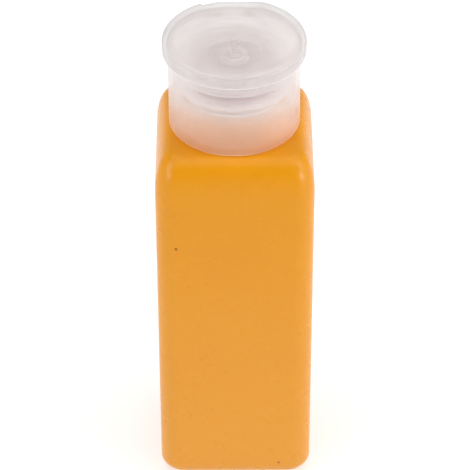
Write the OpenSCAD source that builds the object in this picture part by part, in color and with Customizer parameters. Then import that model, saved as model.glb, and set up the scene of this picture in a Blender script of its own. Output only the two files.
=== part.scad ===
// Square solvent bottle with a push-dish pump head and a hinged flip lid.
// Millimetres. +Z is up, the origin is the centre of the base on the resting plane,
// +Y points at the lid hinge, so the front of the bottle faces -Y.
// Wetting a pad: the lid swings back, the dish is pushed down, and one stroke of the
// pump lifts solvent through the stem and out of the slotted nozzle into the dish.

/* [Bottle] */
// Width and depth of the square body
body_w = 48; // [47:0.5:50]
// Height of the flat top of the shoulder, where the neck starts
body_h = 127.4; // [126.8:0.1:127.6]
// Plan radius of the four upright corners
corner_r = 6.2; // [5:0.1:7.5]
// Height over which the shoulder curves in
shoulder_rise = 14.4; // [10:0.1:16]
// Distance that the shoulder curves in from each wall
shoulder_run = 5.7; // [4:0.1:6.5]
// Fullness of the shoulder curve, 2 is an ellipse
shoulder_full = 2.2; // [1.8:0.1:2.8]
// Height of the rounded heel
heel_rise = 7.4; // [5:0.1:9]
// Distance that the heel curves in at the base
heel_run = 8.6; // [6:0.1:9]
// Wall thickness of the blown body
wall = 1.2; // [0.8:0.1:1.6]
// Depth of the push-up in the base
push_up = 1.4; // [0.6:0.1:2]

/* [Neck] */
// Outer radius of the neck at the root of its thread
neck_r = 15.1; // [14.8:0.1:15.3]
// Radius of the neck bore
neck_bore_r = 13.2; // [12.6:0.1:13.4]
// Height of the top of the neck
neck_top = 138.4; // [138:0.1:138.6]

/* [Closure] */
// Outer radius of the closure at its lower edge
closure_r = 19.8; // [19.7:0.05:20.2]
// Outer radius of the closure at its rim
closure_rim_r = 19.7; // [19.5:0.05:19.8]
// Height of the lower edge of the closure
closure_z = 127.9; // [127.7:0.1:128.4]
// Height of the rim of the closure
rim_z = 155.6; // [155:0.1:155.7]
// Inner radius of the well that the dish moves in
well_r = 18.3; // [18:0.05:18.4]
// Number of ribs between the outer skirt and the thread sleeve
rib_count = 12; // [8:1:16]

/* [Lid] */
// Largest outer radius of the lid
lid_r = 21.45; // [21.3:0.05:21.8]
// Height of the lower edge of the lid
lid_z = 152.8; // [152.7:0.05:153.2]
// Height of the top of the lid
lid_top = 157.1; // [157:0.1:157.6]
// Inner radius of the skirt of the lid
lid_in_r = 20.05; // [20:0.05:20.2]
// Distance of the flat back of the lid from the centre
lid_back = 19.5; // [19.4:0.05:19.6]

/* [Hinge] */
// Distance of the hinge axis behind the centre
hinge_y = 21.0; // [20.9:0.05:21.2]
// Height of the hinge axis
hinge_z = 151.3; // [151.2:0.05:151.4]
// Radius of the hinge pivots on the lid
pivot_r = 0.8; // [0.6:0.05:1]
// Radial running clearance of the pivots
pivot_gap = 0.05; // [0.03:0.01:0.1]

/* [Dish] */
// Outer radius of the dish
dish_r = 17.4; // [17:0.1:17.6]
// Height of the rim of the dish
dish_rim_z = 149.9; // [149.6:0.1:150.2]
// Radius of the nozzle that stands in the dish
nozzle_r = 4.3; // [4.2:0.05:4.4]

/* [Pump] */
// Travel of the dish from rest to fully pressed
stroke = 4; // [3:0.5:4]
// Bore radius of the pump housing
bore_r = 6.2; // [6.1:0.05:6.3]
// Outer radius of the hollow stem
stem_r = 2.9; // [2.8:0.05:3]
// Running clearance of the stem and the piston
run_gap = 0.05; // [0.03:0.01:0.08]
// Wire diameter of the return spring
wire_d = 0.8; // [0.6:0.1:0.9]
// Turns of the return spring
spring_turns = 6.5; // [5:0.5:7.5]
// Outer radius of the dip tube
tube_r = 2.48; // [2.4:0.02:2.48]
// Height of the lower end of the dip tube
tube_z = 4.6; // [4.2:0.2:12]

/* [Hidden] */
$fn = 96;
eps = 0.01;
half = body_w / 2;
floor_t = 1.5;               // blown floor thickness
deck_lo = 141.2;             // closure deck, lower face
deck_hi = 143.0;             // closure deck, upper face
seat_z = neck_top + 1.0;     // top of the neck gasket
dish_lo = 141.6;             // lower end of the guide skirt of the dish
floor_lo = 147.6;            // underside of the dish floor
cup_floor = dish_lo - stroke - 0.8;  // floor of the cup that guides the dish skirt
tower_hi = floor_lo - stroke - 0.6;  // top of the chaplet tower
cup_r = 10.1;                // inner radius of that cup
cup_out = 11.3;              // outer radius of that cup
guide_hi = cup_floor + 1.8;  // top of the stem guide plate
stem_lo = 128.6;             // lower end of the stem
stem_hi = 146.9;             // upper end of the stem
spring_lo = 114.0;           // seat of the return spring
spring_hi = 127.2;           // top of the return spring
socket_hi = 105.4;           // inner end of the dip tube socket
ball_r = 2.2;                // inlet ball
out_ball_r = 1.5;            // outlet ball

ORANGE = [0.92, 0.61, 0.21];
CLEAR = [0.88, 0.85, 0.84, 0.55];
NATURAL = [0.93, 0.92, 0.90];
STEEL = [0.72, 0.73, 0.75];

// ---------------------------------------------------------------- bottle

// One ring of the body: a square with round corners, seg points in each corner.
seg = 8;
function ring(h, r, z) = [
    for (q = [0 : 3], k = [0 : seg])
        let (a = 90 * q + 90 * k / seg,
             cx = (q == 0 || q == 3) ? h - r : r - h,
             cy = (q < 2) ? h - r : r - h)
        [cx + r * cos(a), cy + r * sin(a), z]];

// Closed skin through a list of rings, from the lowest to the highest.
module skin(rings) {
    n = len(rings[0]);
    m = len(rings);
    pts = [for (a = rings) each a];
    polyhedron(pts, concat(
        [[for (i = [0 : n - 1]) i]],
        [for (j = [0 : m - 2], i = [0 : n - 1])
            [j * n + i, (j + 1) * n + i, (j + 1) * n + (i + 1) % n, j * n + (i + 1) % n]],
        [[for (i = [n - 1 : -1 : 0]) (m - 1) * n + i]]), convexity = 6);
}

steps = 7;
// Rings of the rounded body: wall w inside the outer form, base at z0, top at z1.
function body_rings(w, z0, z1) = concat(
    [for (k = [0 : steps])
        let (t = 90 * (1 - k / steps), i = (heel_run - 0.4 * w) * (1 - cos(t)))
        ring(half - w - i, (corner_r - w) * (1 - 0.3 * (1 - cos(t))), z0 + heel_rise * (1 - sin(t)))],
    [for (k = [0 : steps])
        let (t = 90 * k / steps, f = 1 - pow(cos(t), 2 / shoulder_full))
        ring(half - w - (shoulder_run - 0.3 * w) * f, (corner_r - w) * (1 - 0.3 * f),
             z1 - shoulder_rise + shoulder_rise * pow(sin(t), 2 / shoulder_full))]);

module bottle() color(ORANGE) {
    base_in = half - heel_run;
    difference() {
        union() {
            skin(body_rings(0, 0, body_h));
            // neck, with a small bead where it meets the shoulder
            translate([0, 0, body_h - 1]) cylinder(r = neck_r, h = neck_top - body_h + 1);
        }
        // inside of the body, following the outside one wall in
        skin(body_rings(wall, push_up + floor_t, body_h - wall));
        translate([0, 0, body_h - 4]) cylinder(r = neck_bore_r, h = 20);
        // push-up that leaves a square foot ring to stand on
        translate([0, 0, -1]) linear_extrude(1 + push_up) union() {
            square([2 * base_in - 4, 2 * base_in - 10], center = true);
            square([2 * base_in - 10, 2 * base_in - 4], center = true);
            for (x = [-1, 1], y = [-1, 1])
                translate([x * (base_in - 5), y * (base_in - 5)]) circle(r = 3);
        }
    }
}

// ---------------------------------------------------------------- head

// Foam washer that seals the pump flange on the neck.
module neck_gasket() color(NATURAL)
    translate([0, 0, neck_top]) difference() {
        cylinder(r = 15.0, h = seat_z - neck_top);
        translate([0, 0, -1]) cylinder(r = neck_bore_r, h = 4);
    }

// Outer skirt, threaded sleeve, deck and dish well, moulded in one piece.
module closure() color(CLEAR) {
    sleeve_in = 16.55;
    sleeve_out = 17.6;
    skirt_in = 18.4;
    hole_r = cup_out + 0.08;
    slot = 3.3;
    difference() {
        union() {
            rotate_extrude() polygon([
                [closure_r - 0.3, closure_z], [closure_r, closure_z + 0.3],
                [closure_rim_r, rim_z - 0.4], [closure_rim_r - 0.35, rim_z],
                [well_r + 0.25, rim_z], [well_r, rim_z - 0.3],
                [well_r, deck_hi], [12.2, deck_hi], [12.2, deck_lo + 1], [hole_r, deck_lo + 1],
                [hole_r, deck_lo], [sleeve_in, deck_lo],
                [sleeve_in, closure_z + 1.1], [sleeve_in + 0.3, closure_z + 0.8],
                [sleeve_out, closure_z + 0.8], [sleeve_out, deck_lo - eps],
                [skirt_in, deck_lo - eps], [skirt_in, closure_z]]);
            // ribs that tie the sleeve to the skirt
            for (i = [0 : rib_count - 1]) rotate(360 * (i + 0.5) / rib_count)
                translate([sleeve_out - 0.2, -0.4, closure_z + 1.6])
                    cube([skirt_in - sleeve_out + 0.4, 0.8, deck_lo - closure_z - 1.4]);
            // two hinge ears
            for (s = [-1, 1]) translate([s > 0 ? slot : -slot - 3, 0, 0])
                rotate([90, 0, 90]) linear_extrude(3) union() {
                    polygon([[18.35, 146.6], [19.5, 146.6], [hinge_y + 1.3, hinge_z - 1],
                             [hinge_y, hinge_z + 0.6], [20.2, 151.9], [18.35, 151.9]]);
                    translate([hinge_y, hinge_z]) circle(r = 1.65);
                }
        }
        // the rim is lower behind, under the flat back of the lid
        translate([-12, 18.0, 152.4]) cube([24, 6, 8]);
        // slot for the hinge knuckle of the lid
        translate([-slot, 15.5, 149.2]) cube([2 * slot, 10, 10]);
        // pivot bores
        translate([-10, hinge_y, hinge_z]) rotate([0, 90, 0])
            cylinder(r = pivot_r + pivot_gap, h = 20);
    }
}

// Flat round lid with a straight back, a knuckle with two pivots, and a centre pip.
module flip_lid() color(CLEAR) {
    plate = 1.2;
    union() {
        difference() {
            intersection() {
                rotate_extrude() polygon([
                    [0, lid_z], [lid_r - 0.3, lid_z], [lid_r - 0.05, lid_z + 0.4],
                    [lid_r, lid_z + 1.0], [lid_r - 0.05, lid_top - 1.1],
                    [lid_r - 0.2, lid_top - 0.5], [lid_r - 0.5, lid_top - 0.15],
                    [lid_r - 0.95, lid_top], [0, lid_top]]);
                translate([-30, -40 , 140]) cube([60, 40 + lid_back, 30]);
            }
            difference() {
                translate([0, 0, lid_z - 1]) cylinder(r = lid_in_r, h = lid_top - plate - lid_z + 1);
                translate([-30, lid_back - 1.2, 140]) cube([60, 10, 30]);
            }
        }
        // small centre pip that stands over the hole of the nozzle
        translate([0, 0, 152.0]) cylinder(r = 0.75, h = lid_top - plate - 152.0 + 0.2);
        // hinge knuckle and its two pivots
        translate([-3, 0, 0]) rotate([90, 0, 90]) linear_extrude(6) union() {
            polygon([[lid_back - 1, 152.9], [lid_back - 1, 155.2], [lid_back, 155.2],
                     [hinge_y + 1.5, hinge_z + 0.7], [hinge_y, hinge_z]]);
            translate([hinge_y, hinge_z]) circle(r = 1.65);
        }
        translate([-6.2, hinge_y, hinge_z]) rotate([0, 90, 0]) cylinder(r = pivot_r, h = 12.4);
    }
}

// Shallow dish with a raised nozzle, a guide skirt and a socket for the stem.
module press_dish() color(CLEAR) {
    z = dish_rim_z;
    rotate_extrude() polygon([
        [1.0, 147.25], [1.95, 148.2], [1.95, 150.2], [3.1, 150.2],
        [3.1, 151.4], [nozzle_r - 0.2, 151.4], [nozzle_r, 151.1], [nozzle_r + 0.15, 149.9],
        [5.2, 149.2], [7.4, 148.7],
        [12.5, 148.75], [15.2, 149.0], [16.6, z - 0.1], [dish_r - 0.4, z],
        [dish_r, z - 0.4], [dish_r, 147.3], [dish_r - 1.0, 147.3], [dish_r - 1.0, floor_lo + 0.3],
        [dish_r - 1.6, floor_lo], [9.6, floor_lo], [9.6, dish_lo + 0.3], [9.3, dish_lo], [8.5, dish_lo],
        [8.5, floor_lo], [4.6, floor_lo], [4.6, 143.6], [4.4, 143.4], [stem_r + 0.3, 143.4],
        [stem_r + 0.02, 143.8], [stem_r + 0.02, stem_hi], [1.0, stem_hi]]);
}

// Perforated cap pressed into the nozzle, which holds the outlet ball in.
module nozzle_insert() color(NATURAL)
    difference() {
        rotate_extrude() polygon([
            [1.95, 150.22], [3.08, 150.22], [3.08, 151.3], [2.6, 151.55], [0, 151.7],
            [0, 150.95], [1.7, 150.95], [1.95, 150.7]]);
        translate([0, 0, 150]) cylinder(r = 0.55, h = 3);
        for (i = [0 : 2]) rotate(120 * i + 90)
            translate([0.9, -0.25, 150]) cube([1.1, 0.5, 3]);
    }

module outlet_ball() color(STEEL) translate([0, 0, 148.39]) sphere(r = out_ball_r);

// Hollow stem between the dish and the piston.
module stem() color(NATURAL)
    translate([0, 0, stem_lo]) difference() {
        cylinder(r = stem_r, h = stem_hi - stem_lo);
        translate([0, 0, -1]) cylinder(r = 1.6, h = stem_hi - stem_lo + 2);
    }

// Soft piston with a lip at each end.
module piston() color(NATURAL) {
    r = bore_r - run_gap;
    b = stem_r + 0.02;
    rotate_extrude() polygon([
        [b, 128.62], [4.1, 128.62], [4.6, 129.4], [r - 0.7, 128.7], [r - 0.1, 128.7],
        [r, 129.0], [r, 129.7], [r - 1.0, 130.6], [r - 1.0, 131.8], [r, 132.8],
        [r, 133.5], [r - 0.1, 133.8], [r - 0.7, 133.8], [4.6, 133.0], [4.1, 133.8], [b, 133.8]]);
}

// Foot that holds the piston on the stem and carries the top of the spring.
module piston_foot() color(NATURAL)
    rotate_extrude() polygon([
        [1.0, 125.6], [3.3, 125.6], [3.6, 125.9], [3.6, 127.2], [5.0, 127.2], [5.0, 128.3],
        [4.7, 128.6], [1.58, 128.6], [1.58, 132.0], [1.3, 132.4], [1.0, 132.4]]);

// Coil spring swept along a helix, with a flat closing turn at each end.
module return_spring() {
    r = 4.55;
    lo = spring_lo + wire_d / 2;
    hi = spring_hi - wire_d / 2;
    per = 18;
    sides = 8;
    total = spring_turns + 2;
    n = round(per * total);
    // height along the coil: dead turn, working turns, dead turn
    function cz(t) = t < 1 ? lo + wire_d * 0.52 * t
        : t > total - 1 ? hi - wire_d * 0.52 * (total - t)
        : lo + wire_d * 0.52 + (hi - lo - wire_d * 1.04) * (t - 1) / spring_turns;
    function at(i, k) = let (t = total * i / n, a = 360 * t, b = 360 * k / sides,
                             q = r + wire_d / 2 * cos(b))
        [q * cos(a), q * sin(a), cz(t) + wire_d / 2 * sin(b)];
    color(STEEL) polyhedron([for (i = [0 : n], k = [0 : sides - 1]) at(i, k)], concat(
        [[for (k = [0 : sides - 1]) k]],
        [for (i = [0 : n - 1], k = [0 : sides - 1])
            [i * sides + k, (i + 1) * sides + k,
             (i + 1) * sides + (k + 1) % sides, i * sides + (k + 1) % sides]],
        [[for (k = [sides - 1 : -1 : 0]) n * sides + k]]), convexity = 10);
}

// Guide for the stem: a plug in the housing, a plate and a short tower.
module chaplet() color(NATURAL)
    rotate_extrude() polygon([
        [3.8, cup_floor - 2.4], [bore_r - 0.32, cup_floor - 2.4], [bore_r - 0.02, cup_floor - 2.1],
        [bore_r - 0.02, cup_floor + 0.01], [8.0, cup_floor + 0.01], [8.0, tower_hi - 0.3],
        [7.7, tower_hi], [7.0, tower_hi], [7.0, guide_hi],
        [stem_r + 0.35, guide_hi], [stem_r + run_gap, guide_hi - 0.3], [stem_r + run_gap, cup_floor - 0.6],
        [3.8, cup_floor - 0.6]]);

// Pump barrel with its flange, guide cup, inlet seat and dip tube socket.
module pump_housing() color(NATURAL)
    difference() {
        rotate_extrude() polygon([
            [bore_r, 113.2], [bore_r, cup_floor], [cup_r, cup_floor], [cup_r, 142.6],
            [cup_r + 0.3, 142.9], [cup_out + 0.35, 142.9], [cup_out + 0.5, 142.6],
            [cup_out + 0.5, 142.25], [cup_out, 142.25], [cup_out, deck_lo - 0.05],
            [15.0, deck_lo - 0.05], [15.0, seat_z], [cup_out, seat_z], [cup_out, cup_floor - 1.2],
            [7.4, cup_floor - 1.2], [7.4, 112.4], [4.4, 108.6], [4.4, 96.0], [3.1, 96.0],
            [2.5, 96.8], [2.5, socket_hi], [1.4, socket_hi], [1.4, 107.2], [3.0, 108.8],
            [3.0, 113.2]]);
        // air vent below the flange, covered by the piston at rest
        translate([0, 0, 133.2]) rotate([0, 90, 20]) cylinder(r = 0.35, h = 10, $fn = 24);
    }

// Spider that the spring stands on and that keeps the inlet ball in its seat.
module ball_retainer() color(NATURAL)
    translate([0, 0, 113.22]) difference() {
        cylinder(r = bore_r - 0.02, h = spring_lo - 113.22);
        for (i = [0 : 3]) rotate(90 * i + 45) translate([1.5, -0.75, -1])
            cube([1.3, 1.5, 4]);
    }

module inlet_ball() color(STEEL) translate([0, 0, 108.93]) sphere(r = ball_r);

// Suction tube, cut at a slant so that the floor can't close it.
module dip_tube() color(NATURAL)
    difference() {
        translate([0, 0, tube_z]) cylinder(r = tube_r, h = socket_hi - 0.02 - tube_z);
        translate([0, 0, tube_z - 1]) cylinder(r = 1.7, h = socket_hi - tube_z + 2);
        translate([-tube_r, -10, tube_z]) rotate([0, 40, 0]) translate([-10, 0, -10])
            cube([20, 20, 10]);
    }

bottle();
neck_gasket();
closure();
flip_lid();
press_dish();
nozzle_insert();
outlet_ball();
stem();
piston();
piston_foot();
return_spring();
chaplet();
pump_housing();
ball_retainer();
inlet_ball();
dip_tube();
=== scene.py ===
import math

import bmesh
import bpy
from mathutils import Matrix, Vector


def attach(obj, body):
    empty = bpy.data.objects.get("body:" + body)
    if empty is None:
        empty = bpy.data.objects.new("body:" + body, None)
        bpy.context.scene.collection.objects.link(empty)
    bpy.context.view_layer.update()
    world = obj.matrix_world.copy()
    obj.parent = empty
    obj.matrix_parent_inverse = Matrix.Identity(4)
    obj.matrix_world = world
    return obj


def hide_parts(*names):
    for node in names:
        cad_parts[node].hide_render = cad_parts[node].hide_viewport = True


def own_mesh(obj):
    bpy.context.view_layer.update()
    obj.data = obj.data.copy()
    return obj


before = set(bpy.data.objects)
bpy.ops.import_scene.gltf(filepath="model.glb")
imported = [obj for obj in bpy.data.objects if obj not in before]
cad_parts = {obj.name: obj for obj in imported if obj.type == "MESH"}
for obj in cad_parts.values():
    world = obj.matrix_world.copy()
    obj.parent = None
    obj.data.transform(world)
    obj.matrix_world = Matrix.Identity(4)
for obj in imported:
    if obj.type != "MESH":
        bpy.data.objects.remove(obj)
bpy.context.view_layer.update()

# Every length below is in millimetres, as in the construction, until done() scales a mesh to metres.
# ---------------------------------------------------------------- sizes

HALF, CORNER, BODY_H = 24.0, 6.2, 127.4
SHOULDER_RISE, SHOULDER_RUN, FULL = 14.4, 5.7, 2.2
HEEL_RISE, HEEL_RUN = 7.4, 8.6
WALL, PUSH_UP, FLOOR_T = 1.2, 1.4, 1.5
NECK_R, NECK_BORE, NECK_TOP = 15.1, 13.2, 138.4
PITCH, THREAD_Z = 3.175, 130.2
SKIRT_LO, SKIRT_HI, RIM_Z, CLOSURE_Z = 19.8, 19.7, 155.6, 127.9
WELL_R, SLEEVE_IN, SLEEVE_OUT, SKIRT_IN = 18.3, 16.55, 17.6, 18.4
DECK_LO, DECK_HI = 141.2, 143.0
LID_R, LID_Z, LID_TOP, LID_IN, LID_BACK = 21.45, 152.8, 157.1, 20.05, 19.5
HINGE_Y, HINGE_Z, PIVOT_R, PIVOT_GAP = 21.0, 151.3, 0.8, 0.05
DISH_R, DISH_RIM, NOZZLE_R, FLOOR_LO, DISH_LO = 17.4, 149.9, 4.3, 147.6, 141.6


# ---------------------------------------------------------------- mesh helpers


def smooth(t):
    t = max(0.0, min(1.0, t))
    return t * t * (3 - 2 * t)


def make(name, verts, faces):
    me = bpy.data.meshes.new(name)
    me.from_pydata(verts, [], faces)
    bm = bmesh.new()
    bm.from_mesh(me)
    bmesh.ops.remove_doubles(bm, verts=bm.verts, dist=1e-5)
    bmesh.ops.recalc_face_normals(bm, faces=bm.faces)
    bm.to_mesh(me)
    bm.free()
    o = bpy.data.objects.new(name, me)
    bpy.context.scene.collection.objects.link(o)
    return o


def loft(name, rings, closed=False):
    """One closed skin through rings of equal length. A ring of one point is a pole."""
    verts, rows = [], []
    for ring in rings:
        rows.append(list(range(len(verts), len(verts) + len(ring))))
        verts.extend(ring)
    faces = []
    n = max(len(r) for r in rows)
    pairs = list(zip(rows, rows[1:])) + ([(rows[-1], rows[0])] if closed else [])
    for a, b in pairs:
        for i in range(n):
            k = (i + 1) % n
            if len(a) == 1 and len(b) == 1:
                continue
            if len(a) == 1:
                faces.append((a[0], b[k], b[i]))
            elif len(b) == 1:
                faces.append((a[i], a[k], b[0]))
            else:
                faces.append((a[i], a[k], b[k], b[i]))
    return make(name, verts, faces)


def rounded(points, seg=5, closed=True):
    """Points (x, y, radius) of an outline, with each corner turned into an arc."""
    out = []
    n = len(points)
    for i, (x, y, rad) in enumerate(points):
        if rad <= 0 or (not closed and i in (0, n - 1)):
            out.append((x, y))
            continue
        p = Vector((x, y))
        a = Vector(points[i - 1][:2]) - p
        b = Vector(points[(i + 1) % n][:2]) - p
        la, lb = a.length, b.length
        a.normalize(), b.normalize()
        phi = a.angle(b)
        if phi > math.pi - 0.02:
            out.append((x, y))
            continue
        t = min(rad / math.tan(phi / 2), 0.48 * la, 0.48 * lb)
        rad = t * math.tan(phi / 2)
        c = p + (a + b).normalized() * (rad / math.sin(phi / 2))
        s, e = p + a * t - c, p + b * t - c
        a0 = math.atan2(s.y, s.x)
        turn = math.atan2(s.x * e.y - s.y * e.x, s.dot(e))
        for k in range(seg + 1):
            w = a0 + turn * k / seg
            out.append((c.x + rad * math.cos(w), c.y + rad * math.sin(w)))
    return out


def dense(points, step, test):
    """Splits each long edge for which test(a, b) holds, so that it can carry relief."""
    out = []
    for a, b in zip(points, points[1:] + points[:1]):
        out.append(a)
        d = math.hypot(b[0] - a[0], b[1] - a[1])
        if d > step and test(a, b):
            m = math.ceil(d / step)
            out += [
                (a[0] + (b[0] - a[0]) * k / m, a[1] + (b[1] - a[1]) * k / m)
                for k in range(1, m)
            ]
    return out


def lathe(name, profile, n=256, relief=None):
    """A closed (r, z) outline turned round Z. relief(r, z, angle) may move a point."""
    rings = []
    for r, z in profile:
        if r < 1e-6:
            rings.append([(0.0, 0.0, z)])
            continue
        ring = []
        for i in range(n):
            a = 2 * math.pi * i / n
            rr, zz = relief(r, z, a) if relief else (r, z)
            ring.append((rr * math.cos(a), rr * math.sin(a), zz))
        rings.append(ring)
    return loft(name, rings, closed=len(rings[0]) > 1 or len(rings[-1]) > 1)


def slab(name, outline, x0, x1, edge=0.2):
    """An outline in (y, z) drawn out along X, with its edges rounded off."""
    n = len(outline)
    verts = [(x0, y, z) for y, z in outline] + [(x1, y, z) for y, z in outline]
    faces = [tuple(range(n)), tuple(range(2 * n - 1, n - 1, -1))]
    faces += [(i, (i + 1) % n, n + (i + 1) % n, n + i) for i in range(n)]
    o = make(name, verts, faces)
    if edge:
        bm = bmesh.new()
        bm.from_mesh(o.data)
        rim = [e for e in bm.edges if abs(e.verts[0].co.x - e.verts[1].co.x) < 1e-6]
        bmesh.ops.bevel(
            bm, geom=rim, offset=edge, segments=3, profile=0.5, affect="EDGES"
        )
        bmesh.ops.recalc_face_normals(bm, faces=bm.faces)
        bm.to_mesh(o.data)
        bm.free()
    return o


def combine(target, tool, operation):
    """Joins or cuts target with tool, and drops tool."""
    m = target.modifiers.new("cut", "BOOLEAN")
    m.operation, m.object, m.solver = operation, tool, "MANIFOLD"
    deps = bpy.context.evaluated_depsgraph_get()
    me = bpy.data.meshes.new_from_object(target.evaluated_get(deps))
    target.modifiers.clear()
    target.data = me
    bpy.data.objects.remove(tool)
    return target


def done(o, body, material, replaces=(), sharp=32):
    """Scales a finished mesh to metres, shades it and hands it to its body."""
    me = o.data
    me.transform(Matrix.Scale(0.001, 4))
    me.polygons.foreach_set("use_smooth", [True] * len(me.polygons))
    me.set_sharp_from_angle(angle=math.radians(sharp))
    me.materials.clear()
    me.materials.append(material)
    me.update()
    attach(o, body)
    if replaces:
        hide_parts(*replaces)
    return o


# ---------------------------------------------------------------- camera

# Placed where the photograph was taken from: far off, and looking down at 38 degrees.
TURN, TILT, ROLL = 0.00341, 0.66726, -0.00266
cam_data = bpy.data.cameras.new("camera")
cam_data.sensor_width = 36
cam_data.lens = 199.35
cam_data.shift_x = 0.0006
cam_data.clip_start, cam_data.clip_end = 0.05, 20
camera = bpy.data.objects.new("camera", cam_data)
camera.matrix_world = (
    Matrix.Rotation(-TURN, 4, "Z")
    @ Matrix.Translation((0, -0.63984, 0.58679))
    @ Matrix.Rotation(math.pi / 2 - TILT, 4, "X")
    @ Matrix.Rotation(ROLL, 4, "Z")
)
bpy.context.scene.collection.objects.link(camera)
bpy.context.scene.camera = camera


# ---------------------------------------------------------------- materials


class Nodes:
    """Short way to write a node tree."""

    def __init__(self, name):
        self.mat = bpy.data.materials.new(name)
        self.mat.use_nodes = True
        self.tree = self.mat.node_tree
        self.tree.nodes.clear()
        self.out = self.tree.nodes.new("ShaderNodeOutputMaterial")
        self.coord = self.tree.nodes.new("ShaderNodeTexCoord").outputs["Object"]

    def add(self, kind, inputs=None, **props):
        n = self.tree.nodes.new("ShaderNode" + kind)
        for k, v in props.items():
            setattr(n, k, v)
        for k, v in (inputs or {}).items():
            if isinstance(v, bpy.types.NodeSocket):
                self.tree.links.new(v, n.inputs[k])
            else:
                n.inputs[k].default_value = v
        return n

    def noise(self, scale, detail=2.0, rough=0.5, offset=(0, 0, 0), stretch=(1, 1, 1)):
        m = self.add("Mapping", {"Vector": self.coord, "Location": offset, "Scale": stretch})
        return self.add(
            "TexNoise",
            {"Vector": m.outputs[0], "Scale": scale, "Detail": detail, "Roughness": rough},
        ).outputs["Fac"]

    def span(self, value, a, b, c, d):
        """value from a..b onto c..d, held at the ends."""
        return self.add(
            "MapRange",
            {"Value": value, "From Min": a, "From Max": b, "To Min": c, "To Max": d},
            clamp=True,
        ).outputs[0]

    def math(self, operation, a, b=0.0, c=0.0):
        n = self.tree.nodes.new("ShaderNodeMath")
        n.operation = operation
        for i, v in enumerate((a, b, c)):
            if isinstance(v, bpy.types.NodeSocket):
                self.tree.links.new(v, n.inputs[i])
            else:
                n.inputs[i].default_value = v
        return n.outputs[0]

    def mix(self, fac, a, b):
        n = self.tree.nodes.new("ShaderNodeMix")
        n.data_type = "RGBA"
        for i, v in ((0, fac), (6, a), (7, b)):
            if isinstance(v, bpy.types.NodeSocket):
                self.tree.links.new(v, n.inputs[i])
            else:
                n.inputs[i].default_value = v
        return n.outputs[2]

    def bump(self, height, distance, strength=1.0, under=None):
        ins = {"Height": height, "Distance": distance, "Strength": strength}
        if under is not None:
            ins["Normal"] = under
        return self.add("Bump", ins).outputs[0]

    def surface(self, shader):
        self.tree.links.new(shader.outputs[0], self.out.inputs["Surface"])
        return self.mat


def lin(r, g, b):
    """An sRGB colour of 0 to 255 as linear values."""
    f = lambda c: c / 12.92 if c <= 0.04045 else ((c + 0.055) / 1.055) ** 2.4
    return (f(r / 255), f(g / 255), f(b / 255), 1.0)


# Satin blown polyethylene, with a faint orange-peel skin, slow waves and a few dirt specks; the
# paler foot and the lighter ring round the neck are painted light.
# Specks: place on the front face (x, z), radius in mm, and how dark each is.
SPECKS = [
    (-17.9, 96.3, 0.48, 0.95),
    (13.9, 7.9, 0.42, 0.8),
    (-14.1, 81.4, 0.34, 0.28),
    (-10.5, 52.3, 0.36, 0.3),
    (-2.8, 47.0, 0.34, 0.3),
    (-3.4, 40.0, 0.32, 0.25),
    (-7.5, 31.2, 0.34, 0.25),
    (13.3, 64.8, 0.3, 0.25),
    (13.1, 50.5, 0.32, 0.22),
    (-15.7, 32.1, 0.34, 0.28),
]


def bottle_material():
    m = Nodes("orange_hdpe")
    slow = m.noise(28, 2.0, 0.5)
    fine = m.noise(1500, 3.0, 0.6)
    blotch = m.noise(160, 3.0, 0.6, (3, 1, 0))
    base = m.mix(m.span(slow, 0.3, 0.7, 0, 1), (0.635, 0.247, 0.003, 1), (0.664, 0.262, 0.004, 1))
    base = m.mix(m.span(fine, 0.3, 0.75, 0, 0.12), base, (0.76, 0.34, 0.03, 1))
    base = m.mix(m.span(blotch, 0.62, 0.8, 0, 0.04), base, (0.60, 0.215, 0.004, 1))
    # paler towards the foot: painted reflection of the bright floor, mirrored more strongly low down
    tall = m.add("SeparateXYZ", {0: m.coord}).outputs["Z"]
    base = m.mix(m.span(tall, 0.115, 0.01, 0, 1), base, (0.65, 0.276, 0.03, 1))
    # and lighter round the neck: painted light, lifting the shade under the collar
    place = m.add("VectorMath", {0: m.coord, 1: (0, 0, 0.130)}, operation="DISTANCE")
    painted_light_near = m.span(place.outputs["Value"], 0.0245, 0.0195, 0, 1)
    base = m.mix(painted_light_near, base, (0.73, 0.29, 0.006, 1))
    # dirt
    wobble = m.span(m.noise(2600, 1.0), 0.3, 0.7, -0.00012, 0.00012)
    spots = None
    for x, z, r, dark in SPECKS:
        d = m.add(
            "VectorMath",
            {0: m.coord, 1: (x / 1000, -0.024, z / 1000)},
            operation="DISTANCE",
        ).outputs["Value"]
        d = m.math("ADD", d, wobble)
        one = m.span(d, r * 0.0006, r * 0.00125, dark, 0.0)
        spots = one if spots is None else m.math("MAXIMUM", spots, one)
    base = m.mix(spots, base, (0.16, 0.055, 0.004, 1))
    rough = m.span(m.noise(90, 3.0, 0.6, (0, 5, 0)), 0.3, 0.7, 0.25, 0.32)
    rough = m.math("ADD", rough, m.math("MULTIPLY", spots, 0.3))
    low = m.bump(m.noise(34, 1.0, 0.4, (7, 0, 2), (1, 1, 0.5)), 0.0012, 0.35)
    skin = m.bump(m.noise(1100, 2.0, 0.5), 0.00003, 0.3, low)
    return m.surface(
        m.add(
            "BsdfPrincipled",
            {
                "Base Color": base,
                "Roughness": rough,
                "IOR": 1.5,
                "Specular IOR Level": 0.25,
                "Subsurface Weight": 0.1,
                "Subsurface Radius": (1.0, 0.45, 0.12),
                "Subsurface Scale": 0.0022,
                "Normal": skin,
            },
        )
    )


INF = 999.0


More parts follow.
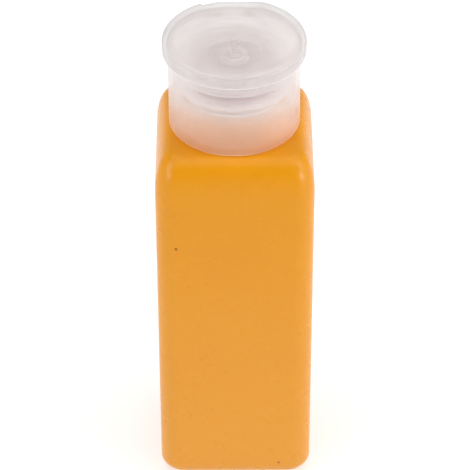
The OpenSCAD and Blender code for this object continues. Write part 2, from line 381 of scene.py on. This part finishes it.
def milky(
    name,
    tint,
    deep,
    cover,
    rough,
    veil,
    zones=(),
    tones=(),
    through=(0.995, 0.993, 0.992),
    aslant=0.97,
):
    """Unpigmented plastic: cover is the share of light that each skin scatters, and the rest
    goes through. More scatters where a skin is crossed aslant, as the way through it is
    longer. veil is the part of it that passes on to the far side, which shows what lies
    behind as a soft glow. zones holds ({"z": (a, b, c, d), "r": ...}, more) in mm: a section of
    another thickness that changes the cover by more, in full between b and c and fading out
    to a and d, in height z, radius r, width x either way, depth y, and distance c from
    the middle of the thin spot of the lid. tones holds zones of another colour. through is
    what passes a skin that is crossed straight, and aslant what passes at its edge."""
    m = Nodes(name)
    cloud = m.noise(70, 3.0, 0.55)
    flow = m.noise(60, 2.0, 0.5, (2, 2, 0), (1, 1, 0.2))
    base = m.mix(m.span(cloud, 0.3, 0.7, 0, 1), tint, deep)
    facing = m.add("LayerWeight", {"Blend": 0.5}).outputs["Facing"]
    straight = m.span(flow, 0.3, 0.7, cover - 0.012, cover + 0.012)
    if zones or tones:
        place = m.add("SeparateXYZ", {0: m.coord})
        flat = m.add("VectorMath", {0: m.coord, 1: (1, 1, 0)}, operation="MULTIPLY")
        far = m.add("VectorMath", {0: flat.outputs[0]}, operation="LENGTH").outputs["Value"]
        parts = {
            "x": m.math("ABSOLUTE", place.outputs["X"]),
            "y": place.outputs["Y"],
            "z": place.outputs["Z"],
            "r": far,
            "c": m.add(
                "VectorMath", {0: flat.outputs[0], 1: (0, -0.0076, 0)}, operation="DISTANCE"
            ).outputs["Value"],
        }

        def zone(limits, full):
            for key, (a, b, c, d) in limits.items():
                if b > -INF:
                    full = m.math("MULTIPLY", full, m.span(parts[key], a / 1000, b / 1000, 0, 1))
                if c < INF:
                    full = m.math("MULTIPLY", full, m.span(parts[key], c / 1000, d / 1000, 1, 0))
            return full

        for limits, more in zones:
            straight = m.math("ADD", straight, zone(limits, more))
        for limits, colour in tones:
            base = m.mix(zone(limits, 1.0), base, colour)
    way = m.math("DIVIDE", 0.62, m.math("MAXIMUM", m.math("SUBTRACT", 1.0, facing), 0.28))
    alpha = m.math("SUBTRACT", 1.0, m.math("POWER", m.math("SUBTRACT", 1.0, straight), way))
    r = m.span(m.noise(300, 3.0, 0.6, (0, 4, 0)), 0.3, 0.7, rough - 0.04, rough + 0.05)
    wave = m.bump(m.noise(60, 1.0, 0.4, (5, 5, 5)), 0.0002, 0.08)
    skin = m.add(
        "BsdfPrincipled",
        {
            "Base Color": base,
            "Roughness": r,
            "IOR": 1.49,
            "Specular IOR Level": 0.5,
            "Normal": wave,
        },
    )
    glow = m.add("BsdfTranslucent", {"Color": base, "Normal": wave})
    milk = m.add("MixShader", {0: veil, 1: skin.outputs[0], 2: glow.outputs[0]})
    # more is lost, too, on the longer way
    dim = m.mix(m.span(facing, 0.42, 0.85, 0, 1), (*through, 1), (aslant, aslant, aslant, 1))
    clear_way = m.add("BsdfTransparent", {"Color": dim})
    return m.surface(
        m.add("MixShader", {0: alpha, 1: clear_way.outputs[0], 2: milk.outputs[0]})
    )


def steel_material():
    m = Nodes("steel")
    streak = m.noise(900, 3.0, 0.6, (0, 0, 0), (1, 1, 4))
    base = m.mix(m.span(streak, 0.3, 0.7, 0, 1), (0.50, 0.51, 0.53, 1), (0.68, 0.68, 0.70, 1))
    rough = m.span(m.noise(2200, 2.0), 0.3, 0.7, 0.16, 0.3)
    return m.surface(
        m.add(
            "BsdfPrincipled",
            {
                "Base Color": base,
                "Metallic": 1.0,
                "Roughness": rough,
                "Normal": m.bump(streak, 0.00001, 0.4),
            },
        )
    )


def foam_material():
    m = Nodes("foam")
    cells = m.add("TexVoronoi", {"Vector": m.coord, "Scale": 3200.0}).outputs["Distance"]
    base = m.mix(m.span(cells, 0.1, 0.6, 0, 1), (0.78, 0.75, 0.73, 1), (0.90, 0.87, 0.86, 1))
    return m.surface(
        m.add(
            "BsdfPrincipled",
            {
                "Base Color": base,
                "Roughness": m.span(cells, 0.1, 0.6, 0.75, 0.9),
                "Subsurface Weight": 0.3,
                "Subsurface Radius": (1.0, 1.0, 1.0),
                "Subsurface Scale": 0.001,
                "Normal": m.bump(cells, 0.00008, 0.8),
            },
        )
    )


ORANGE = bottle_material()
CLOSURE_PP = milky(
    "closure_pp",
    (0.94, 0.915, 0.905, 1),
    (0.96, 0.935, 0.925, 1),
    0.38,
    0.26,
    0.7,
    aslant=0.9,
    zones=[
        # deck
        ({"z": (140.8, 141.1, 143.2, 143.5), "r": (-INF, -INF, 18.2, 18.25)}, 0.3),
        # sleeve, heavier at its top
        ({"z": (127.0, 128.0, 141.1, 141.2), "r": (-INF, -INF, 17.62, 17.66)}, -0.16),
        ({"z": (135.5, 141.0, 141.2, 141.6), "r": (-INF, -INF, 17.9, 18.0)}, 0.2),
        # ribs between sleeve and skirt
        ({"z": (127.0, 128.0, 141.0, 141.2), "r": (17.66, 17.7, 18.3, 18.34)}, -0.25),
        # bottom edge
        ({"z": (-INF, -INF, 128.15, 128.4), "r": (19.2, 19.4, INF, INF)}, 0.35),
        # hinge ears
        (
            {
                "z": (146.0, 146.3, INF, INF),
                "y": (19.8, 19.9, INF, INF),
                "x": (-INF, -INF, 6.5, 6.6),
            },
            -0.15,
        ),
    ],
    tones=[
        # painted light: warm orange, for the light bounced off the shoulder below it
        ({"z": (-INF, -INF, 129.0, 137.0)}, (1.0, 0.91, 0.80, 1)),
        # deck
        ({"z": (140.8, 141.1, 143.2, 143.5), "r": (-INF, -INF, 18.2, 18.25)}, (0.91, 0.88, 0.87, 1)),
        # round the pump: painted shade, dark and pinkish
        (
            {"z": (140.8, 141.1, 143.2, 143.5), "r": (-INF, -INF, 12.9, 13.8)},
            (0.72, 0.50, 0.51, 1),
        ),
        # bottom edge: painted light, the orange it would gather off the shoulder
        ({"z": (-INF, -INF, 128.15, 128.4), "r": (19.2, 19.4, INF, INF)}, (1.0, 0.84, 0.66, 1)),
    ],
)
LID_PP = milky(
    "lid_pp",
    (0.86, 0.84, 0.835, 1),
    (0.88, 0.86, 0.855, 1),
    0.24,
    0.24,
    0.7,
    zones=[
        # wall of the lid, and its lower edge
        ({"z": (151.0, 151.5, 155.8, 156.8), "r": (17.6, 18.1, INF, INF)}, 0.14),
        ({"z": (-INF, -INF, 153.05, 153.3), "r": (20.8, 21.0, INF, INF)}, 0.3),
        # knuckle and pivots
        (
            {
                "z": (150.0, 150.6, 155.2, 155.6),
                "y": (18.45, 18.55, INF, INF),
                "x": (-INF, -INF, 6.3, 6.4),
            },
            -0.2,
        ),
        # top plate, heavier away from the gate over the nozzle
        ({"z": (156.4, 156.9, INF, INF), "c": (7.0, 14.0, INF, INF)}, 0.2),
    ],
    tones=[
        # painted shade: edge of the top, but for its front, darker grey
        (
            {
                "z": (154.8, 156.0, INF, INF),
                "r": (17.5, 20.5, INF, INF),
                "y": (-16.0, -4.0, INF, INF),
            },
            (0.68, 0.66, 0.655, 1),
        ),
        # painted shade on the wall of the lid
        ({"z": (153.2, 153.4, 155.6, 156.2), "r": (20.8, 21.0, INF, INF)}, (0.77, 0.74, 0.745, 1)),
        # painted highlight: a pale line along the lower edge
        ({"z": (-INF, -INF, 153.05, 153.3), "r": (20.8, 21.0, INF, INF)}, (0.99, 0.97, 0.965, 1)),
    ],
    through=(0.99, 0.987, 0.986),
    aslant=0.78,
)
DISH_PP = milky(
    "dish_pp",
    (0.98, 0.95, 0.945, 1),
    (0.99, 0.96, 0.955, 1),
    0.42,
    0.28,
    0.75,
    # middle, over the guide skirt
    zones=[({"z": (147.0, 147.5, INF, INF), "r": (-INF, -INF, 9.0, 12.0)}, 0.3)],
    # painted shade on the lower end of the guide skirt, under the cup
    tones=[({"z": (-INF, -INF, 143.6, 144.6), "r": (8.0, 8.4, INF, INF)}, (0.46, 0.24, 0.26, 1))],
)
# Pump housing: its cup is made dark and pinkish, painted shade for the cup seen in shadow; its
# flange and barrel are paler.
HOUSING_PP = milky(
    "housing_pp",
    (0.58, 0.40, 0.42, 1),
    (0.61, 0.43, 0.45, 1),
    0.5,
    0.32,
    0.5,
    # flange and barrel, paler than the cup
    tones=[({"z": (-INF, -INF, 141.25, 141.4)}, (0.93, 0.87, 0.86, 1))],
)
NATURAL_PP = milky("natural_pp", (0.95, 0.91, 0.905, 1), (0.97, 0.93, 0.925, 1), 0.4, 0.32, 0.7)
PISTON_PE = milky("piston_pe", (0.86, 0.85, 0.84, 1), (0.90, 0.89, 0.88, 1), 0.9, 0.45, 0.5)
TUBE_PE = milky("tube_pe", (0.90, 0.88, 0.86, 1), (0.92, 0.90, 0.88, 1), 0.45, 0.30, 0.6)
STEEL = steel_material()
FOAM = foam_material()


# ---------------------------------------------------------------- bottle

CSEG, FSEG = 16, 22


def square(half, r, z):
    pts = []
    for q in range(4):
        sx = 1 if q in (0, 3) else -1
        sy = 1 if q < 2 else -1
        cx, cy = sx * (half - r), sy * (half - r)
        for k in range(CSEG + 1):
            a = math.radians(90 * q + 90 * k / CSEG)
            pts.append((cx + r * math.cos(a), cy + r * math.sin(a), z))
        ex, ey, _ = pts[-1]
        # the flat runs on to where the next corner begins
        if q == 0:
            tx, ty = -(half - r), half
        elif q == 1:
            tx, ty = -half, -(half - r)
        elif q == 2:
            tx, ty = half - r, -half
        else:
            tx, ty = half, half - r
        for k in range(1, FSEG):
            w = k / FSEG
            pts.append((ex + (tx - ex) * w, ey + (ty - ey) * w, z))
    return pts


ANGLES = [math.atan2(y, x) for x, y, _ in square(HALF, CORNER, 0)]


def circle(r, z, relief=None):
    return [
        (
            (r + (relief(a, z) if relief else 0)) * math.cos(a),
            (r + (relief(a, z) if relief else 0)) * math.sin(a),
            z,
        )
        for a in ANGLES
    ]


def between(a, b, w):
    return [tuple(p + (q - p) * w for p, q in zip(u, v)) for u, v in zip(a, b)]


def ridge(a, z, start, first, last, height, shift=0.0):
    """Height of a thread ridge at an angle and height: it climbs one pitch each turn."""
    deg = math.degrees(a) % 360
    best = 0.0
    for turn in range(-3, 4):
        t = deg + 360 * turn
        if t < first or t > last:
            continue
        d = abs(z - (start + shift + PITCH * t / 360))
        fade = smooth((t - first) / 18) * smooth((last - t) / 18)
        best = max(best, height * fade * (1 - smooth((d - 0.42) / 0.6)))
    return best


def body_rings(w, z0, z1, heel_n=16, side_n=24, top_n=24):
    rings = []
    for k in range(heel_n + 1):
        t = math.radians(90 * (1 - k / heel_n))
        c = 1 - math.cos(t)
        rings.append(
            square(
                HALF - w - (HEEL_RUN - 0.4 * w) * c,
                (CORNER - w) * (1 - 0.3 * c),
                z0 + HEEL_RISE * (1 - math.sin(t)),
            )
        )
    za, zb = z0 + HEEL_RISE, z1 - SHOULDER_RISE
    for k in range(1, side_n):
        rings.append(square(HALF - w, CORNER - w, za + (zb - za) * k / side_n))
    for k in range(top_n + 1):
        t = math.radians(90 * k / top_n)
        f = 1 - math.cos(t) ** (2 / FULL)
        rings.append(
            square(
                HALF - w - (SHOULDER_RUN - 0.3 * w) * f,
                (CORNER - w) * (1 - 0.3 * f),
                z1 - SHOULDER_RISE + SHOULDER_RISE * math.sin(t) ** (2 / FULL),
            )
        )
    return rings


def neck_thread(a, z):
    return ridge(a, z, THREAD_Z, 0, 450, 1.1)


base_in = HALF - HEEL_RUN
rings = [[(0, 0, PUSH_UP - 0.15)]]
for half, z in (
    (1.5, 1.25),
    (6.0, 1.3),
    (11.5, 1.38),
    (12.7, 1.3),
    (13.2, 1.0),
    (13.45, 0.55),
    (13.7, 0.2),
    (14.05, 0.04),
    (14.4, 0.0),
    (15.0, 0.0),
):
    rings.append(square(half, min(4.3, half * 0.5), z))
outer = body_rings(0, 0, BODY_H)
rings += outer
shelf = circle(15.9, BODY_H)
for w in (0.25, 0.5, 0.75):
    rings.append(between(outer[-1], shelf, w))
rings += [
    shelf,
    circle(15.55, BODY_H + 0.04),
    circle(15.3, BODY_H + 0.18),
    circle(15.15, BODY_H + 0.42),
    circle(NECK_R, BODY_H + 0.8),
]
z = 128.4
while z < 137.6:
    rings.append(circle(NECK_R, z, neck_thread))
    z += 0.2
rings += [circle(NECK_R, 138.05)]
for k in range(1, 5):
    t = math.radians(90 * k / 4)
    rings.append(circle(NECK_R - 0.35 + 0.35 * math.cos(t), 138.05 + 0.35 * math.sin(t)))
for k in range(0, 5):
    t = math.radians(90 * k / 4)
    rings.append(
        circle(NECK_BORE + 0.3 - 0.3 * math.sin(t), NECK_TOP - 0.3 + 0.3 * math.cos(t))
    )
rings += [circle(NECK_BORE, 134), circle(NECK_BORE, 129.5), circle(NECK_BORE + 0.02, 127.0)]
inner = body_rings(WALL, PUSH_UP + FLOOR_T, BODY_H - WALL, 10, 8, 14)
rings += [circle(NECK_BORE + 0.4, BODY_H - WALL)]
rings += [between(circle(NECK_BORE + 0.4, BODY_H - WALL), inner[-1], 0.5)]
rings += list(reversed(inner))
rings += [
    square(9.0, 3.5, PUSH_UP + FLOOR_T),
    square(3.0, 1.4, PUSH_UP + FLOOR_T),
    [(0, 0, PUSH_UP + FLOOR_T)],
]
bottle = loft("bottle_body", rings)
done(bottle, "bottle", ORANGE, ["bottle"], sharp=50)


# ---------------------------------------------------------------- closure


def closure_thread(r, z, a):
    if abs(r - SLEEVE_IN) < 0.03 and 128.9 < z < 137.5:
        return r - ridge(a, z, THREAD_Z, -250, 250, 1.1, PITCH / 2), z
    return r, z


profile = rounded(
    [
        (SKIRT_LO, CLOSURE_Z, 0.32),
        (SKIRT_HI, RIM_Z, 0.45),
        (WELL_R, RIM_Z, 0.35),
        (WELL_R, DECK_HI, 0.3),
        (12.2, DECK_HI, 0.15),
        (12.2, DECK_LO + 1.0, 0.0),
        (11.38, DECK_LO + 1.0, 0.08),
        (11.38, DECK_LO, 0.08),
        (SLEEVE_IN, DECK_LO, 0.25),
        (SLEEVE_IN, CLOSURE_Z + 0.8, 0.3),
        (SLEEVE_OUT, CLOSURE_Z + 0.8, 0.2),
        (SLEEVE_OUT, DECK_LO, 0.3),
        (SKIRT_IN, DECK_LO, 0.3),
        (SKIRT_IN, CLOSURE_Z, 0.25),
    ],
    seg=5,
)
profile = dense(
    profile, 0.2, lambda a, b: abs(a[0] - SLEEVE_IN) < 0.02 and abs(b[0] - SLEEVE_IN) < 0.02
)
closure = lathe("closure_shell", profile, 288, closure_thread)
for i in range(12):
    rib = slab(
        "rib",
        [(-0.17, 129.3), (0.17, 129.3), (0.22, 141.6), (-0.22, 141.6)],
        SLEEVE_OUT - 0.25,
        SKIRT_IN + 0.25,
        edge=0,
    )
    rib.data.transform(Matrix.Rotation(math.radians(30 * i + 15), 4, "Z"))
    combine(closure, rib, "UNION")
ear = [(18.6, 146.4), (19.55, 146.4)]
ear += [
    (
        HINGE_Y + 1.65 * math.cos(math.radians(t)),
        HINGE_Z + 1.65 * math.sin(math.radians(t)),
    )
    for t in range(-38, 156, 8)
]
ear += [(19.6, 151.95), (18.6, 151.95)]
for x0 in (-6.3, 3.3):
    combine(closure, slab("ear", ear, x0, x0 + 3.0, edge=0.22), "UNION")
combine(
    closure,
    slab("rim_cut", [(18.0, 152.4), (30, 152.4), (30, 165), (18.0, 165)], -12, 12, edge=0),
    "DIFFERENCE",
)
combine(
    closure,
    slab("slot_cut", [(15.5, 149.2), (27, 149.2), (27, 165), (15.5, 165)], -3.3, 3.3, edge=0),
    "DIFFERENCE",
)
bore = [
    (
        HINGE_Y + (PIVOT_R + PIVOT_GAP) * math.cos(math.radians(7.5 * t)),
        HINGE_Z + (PIVOT_R + PIVOT_GAP) * math.sin(math.radians(7.5 * t)),
    )
    for t in range(48)
]
combine(closure, slab("bore", bore, -10, 10, edge=0), "DIFFERENCE")
done(closure, "closure", CLOSURE_PP, ["closure"])


# ---------------------------------------------------------------- lid

LID_N = 360


def soft_min(a, b, k):
    h = max(k - abs(a - b), 0.0) / k
    return min(a, b) - h * h * k * 0.25


def lid_ring(inset, z):
    """The plan of the lid, moved inwards: round, with a straight back that has a small
    step at its left end."""
    pts = []
    for i in range(LID_N):
        a = 2 * math.pi * i / LID_N
        deg = math.degrees(a)
        r = LID_R - inset
        if LID_R - inset > 16.5 and 50 < deg < 135:
            ins = inset * 1.2 / 1.4 if inset < 1.5 else inset
            chord = (LID_BACK - ins) / math.sin(a)
            r0 = soft_min(r, chord, 0.35)
            face = (20.15 - ins) / math.cos(math.radians(deg - 107.86))
            step = 1 - smooth((deg - 118.0) / 2.0)
            cut = min(r0, face)
            r = r0 + (cut - r0) * step if deg > 88 else r0
        pts.append((r * math.cos(a), r * math.sin(a), z))
    return pts


ceiling = LID_TOP - 1.2
rings = [[(0, 0, LID_TOP - 0.02)]]
for r in (3.0, 7.0, 11.0, 15.0):
    rings.append(lid_ring(LID_R - r, LID_TOP - 0.02 + 0.02 * r / 18))
for d in (4.2, 2.6, 1.6):
    rings.append(lid_ring(d, LID_TOP))
for k in range(9):
    t = math.radians(90 * k / 8)
    rings.append(lid_ring(1.1 - 1.1 * math.sin(t), LID_TOP - 1.1 + 1.1 * math.cos(t)))
rings += [lid_ring(0.0, 155.0), lid_ring(0.0, 154.2)]
for k in range(6):
    t = math.radians(90 * k / 5)
    rings.append(lid_ring(0.42 - 0.42 * math.cos(t), LID_Z + 0.5 - 0.5 * math.sin(t)))
for k in range(6):
    t = math.radians(90 * k / 5)
    rings.append(lid_ring(1.4 - 0.42 * (1 - math.sin(t)), LID_Z + 0.5 - 0.5 * math.cos(t)))
rings += [lid_ring(1.4, 154.2)]
for k in range(6):
    t = math.radians(90 * k / 5)
    rings.append(lid_ring(1.4 + 0.5 * (1 - math.cos(t)), ceiling - 0.5 + 0.5 * math.sin(t)))
for d in (2.6, 4.2):
    rings.append(lid_ring(d, ceiling))
for r in (15.0, 11.0, 7.0):
    rings.append(lid_ring(LID_R - r, ceiling))
inside = rounded(
    [
        (4.0, ceiling, 0),
        (0.8, ceiling, 0.25),
        (0.72, 152.0, 0.3),
        (0.0, 152.0, 0),
    ],
    closed=False,
)
for r, z in inside[:-1]:
    rings.append(lid_ring(LID_R - r, z))
rings.append([(0, 0, 152.0)])
lid = loft("lid_shell", rings)
knuckle = [(18.6, 153.0), (18.6, 155.5), (19.45, 155.4)]
knuckle += [
    (
        HINGE_Y + 1.65 * math.cos(math.radians(t)),
        HINGE_Z + 1.65 * math.sin(math.radians(t)),
    )
    for t in range(36, -213, -8)
]
combine(lid, slab("knuckle", knuckle, -3.0, 3.0, edge=0.2), "UNION")
pin = [
    (
        HINGE_Y + PIVOT_R * math.cos(math.radians(10 * t)),
        HINGE_Z + PIVOT_R * math.sin(math.radians(10 * t)),
    )
    for t in range(36)
]
combine(lid, slab("pin", pin, -6.2, 6.2, edge=0.15), "UNION")
done(lid, "lid", LID_PP, ["flip_lid"])


# ---------------------------------------------------------------- dish

profile = rounded(
    [
        (1.0, 147.25, 0.08),
        (1.95, 148.2, 0.15),
        (1.95, 150.2, 0.05),
        (3.1, 150.2, 0.08),
        (3.1, 151.4, 0.12),
        (4.2, 151.4, 0.28),
        (4.42, 149.9, 0.6),
        (5.2, 149.2, 0.6),
        (7.4, 148.7, 1.2),
        (12.5, 148.75, 3.0),
        (15.2, 149.0, 1.5),
        (16.6, 149.8, 0.3),
        (17.0, 149.9, 0.2),
        (DISH_R, 149.5, 0.3),
        (DISH_R, 147.3, 0.2),
        (16.4, 147.3, 0.2),
        (16.4, FLOOR_LO + 0.3, 0.3),
        (15.8, FLOOR_LO, 0.3),
        (9.6, FLOOR_LO, 0.3),
        (9.6, DISH_LO, 0.3),
        (8.5, DISH_LO, 0.3),
        (8.5, FLOOR_LO, 0.3),
        (4.6, FLOOR_LO, 0.3),
        (4.6, 143.4, 0.2),
        (3.2, 143.4, 0.1),
        (2.92, 143.8, 0.1),
        (2.92, 146.9, 0.05),
        (1.0, 146.9, 0.1),
    ],
    seg=6,
)
dish = lathe("dish_shell", profile, 256)
done(dish, "dish", DISH_PP, ["press_dish"])


# ---------------------------------------------------------------- small parts

# Foam washer, squeezed a little at the outside and inside.
profile = rounded(
    [
        (14.95, 138.42, 0.2),
        (15.0, 138.9, 0.5),
        (14.95, 139.38, 0.2),
        (13.25, 139.38, 0.15),
        (13.3, 138.9, 0.4),
        (13.25, 138.42, 0.15),
    ],
    seg=4,
)
done(lathe("foam_washer", profile, 192), "pump", FOAM, ["neck_gasket"], sharp=60)


def spring():
    r, wire, lo, hi, turns = 4.55, 0.39, 114.4, 126.8, 6.5
    total, per, sides = turns + 2, 40, 14
    n = round(per * total)
    rings = []

    def height(t):
        if t < 1:
            return lo + 0.8 * 0.52 * t
        if t > total - 1:
            return hi - 0.8 * 0.52 * (total - t)
        return lo + 0.416 + (hi - lo - 0.832) * (t - 1) / turns

    for i in range(n + 1):
        t = total * i / n
        a = 2 * math.pi * t
        end = min(1.0, min(i, n - i) / 2.0)
        w = wire * (0.35 + 0.65 * end)
        rings.append(
            [
                (
                    (r + w * math.cos(b)) * math.cos(a),
                    (r + w * math.cos(b)) * math.sin(a),
                    height(t) + w * math.sin(b),
                )
                for b in [2 * math.pi * k / sides for k in range(sides)]
            ]
        )
    first = tuple(sum(c) / sides for c in zip(*rings[0]))
    last = tuple(sum(c) / sides for c in zip(*rings[-1]))
    return loft("spring_coil", [[first]] + rings + [[last]])


coil = done(spring(), "pump", STEEL, ["return_spring"], sharp=60)
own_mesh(coil)

for node, material in (
    ("nozzle_insert", NATURAL_PP),
    ("outlet_ball", STEEL),
    ("stem", NATURAL_PP),
    ("piston", PISTON_PE),
    ("piston_foot", NATURAL_PP),
    ("chaplet", NATURAL_PP),
    ("pump_housing", HOUSING_PP),
    ("ball_retainer", NATURAL_PP),
    ("inlet_ball", STEEL),
    ("dip_tube", TUBE_PE),
):
    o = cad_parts[node]
    o.data.materials.clear()
    o.data.materials.append(material)


# ---------------------------------------------------------------- floor and light

# The floor glows with painted light, like a light table, and is darker and glows less in front, out
# of the picture.
floor_mat = Nodes("floor")
speck = floor_mat.noise(40, 2.0)
painted_light_near = floor_mat.add("SeparateXYZ", {0: floor_mat.coord}).outputs["Y"]
painted_light_near = floor_mat.span(painted_light_near, -0.5, -0.2, 0.4, 1.0)
paper = floor_mat.mix(
    floor_mat.span(speck, 0.3, 0.7, 0, 1), (0.62, 0.62, 0.62, 1), (0.635, 0.635, 0.635, 1)
)
floor_mat.surface(
    floor_mat.add(
        "BsdfPrincipled",
        {
            "Base Color": floor_mat.mix(painted_light_near, (0.2, 0.2, 0.2, 1), paper),
            "Roughness": 0.8,
            "Specular IOR Level": 0.2,
            "Emission Color": (1, 1, 1, 1),
            "Emission Strength": floor_mat.math("MULTIPLY", painted_light_near, 0.45),
        },
    )
)
bpy.ops.mesh.primitive_plane_add(size=6, location=(0, 0, 0))
floor = bpy.context.object
floor.name = "floor"
floor.data.materials.append(floor_mat.mat)

# A studio: bright wall behind, soft light from above, darker room in front of the bottle.
world = bpy.data.worlds.new("world")
world.use_nodes = True
tree = world.node_tree
bg = tree.nodes["Background"]
bg.inputs["Color"].default_value = (1.0, 1.0, 1.0, 1)


def room(kind, inputs, **props):
    n = tree.nodes.new("ShaderNode" + kind)
    for k, v in props.items():
        setattr(n, k, v)
    for k, v in inputs.items():
        if isinstance(v, bpy.types.NodeSocket):
            tree.links.new(v, n.inputs[k])
        else:
            n.inputs[k].default_value = v
    return n


way = room("SeparateXYZ", {0: room("TexCoord", {}).outputs["Generated"]})
high = room(
    "MapRange",
    {"Value": way.outputs["Z"], "From Min": 0.25, "From Max": 0.7, "To Min": 1.0, "To Max": 0.0},
    interpolation_type="SMOOTHSTEP",
)
behind = room(
    "MapRange",
    {"Value": way.outputs["Y"], "From Min": -0.5, "From Max": 0.3, "To Min": 0.0, "To Max": 0.62},
    interpolation_type="SMOOTHSTEP",
)
wall = room("Math", {0: high.outputs[0], 1: behind.outputs[0]}, operation="MULTIPLY")
zenith = room(
    "MapRange",
    {"Value": way.outputs["Z"], "From Min": 0.45, "From Max": 0.95, "To Min": 0.02, "To Max": 0.55},
    interpolation_type="SMOOTHSTEP",
)
light = room("Math", {0: wall.outputs[0], 1: zenith.outputs[0]})
tree.links.new(light.outputs[0], bg.inputs["Strength"])
bpy.context.scene.world = world


def softbox(name, at, to, size, watts, colour=(1, 1, 1)):
    data = bpy.data.lights.new(name, "AREA")
    data.shape, data.size, data.size_y = "RECTANGLE", size[0], size[1]
    data.energy, data.color = watts, colour
    o = bpy.data.objects.new(name, data)
    o.location = at
    o.rotation_euler = (Vector(to) - Vector(at)).to_track_quat("-Z", "Y").to_euler()
    bpy.context.scene.collection.objects.link(o)
    return o


softbox("top", (0.1, -0.1, 1.15), (0, 0, 0.05), (2.0, 2.0), 12.5)
softbox("left", (-1.2, -0.6, 0.7), (0, 0, 0.08), (0.7, 0.9), 8.5)
softbox("right", (1.2, -0.4, 0.7), (0, 0, 0.08), (0.7, 0.9), 6.7)
# two small ones give the glints on the front shoulders
softbox("glint_right", (0.75, -0.55, 0.13), (0, 0, 0.11), (0.34, 0.09), 2.6)
softbox("glint_left", (-0.65, -0.62, 0.18), (0, 0, 0.11), (0.3, 0.08), 1.3)

scene = bpy.context.scene
scene.view_settings.view_transform = "Standard"
scene.view_settings.look = "None"
scene.cycles.transparent_max_bounces = 24
scene.cycles.max_bounces = 24
scene.cycles.transmission_bounces = 20
scene.cycles.diffuse_bounces = 6
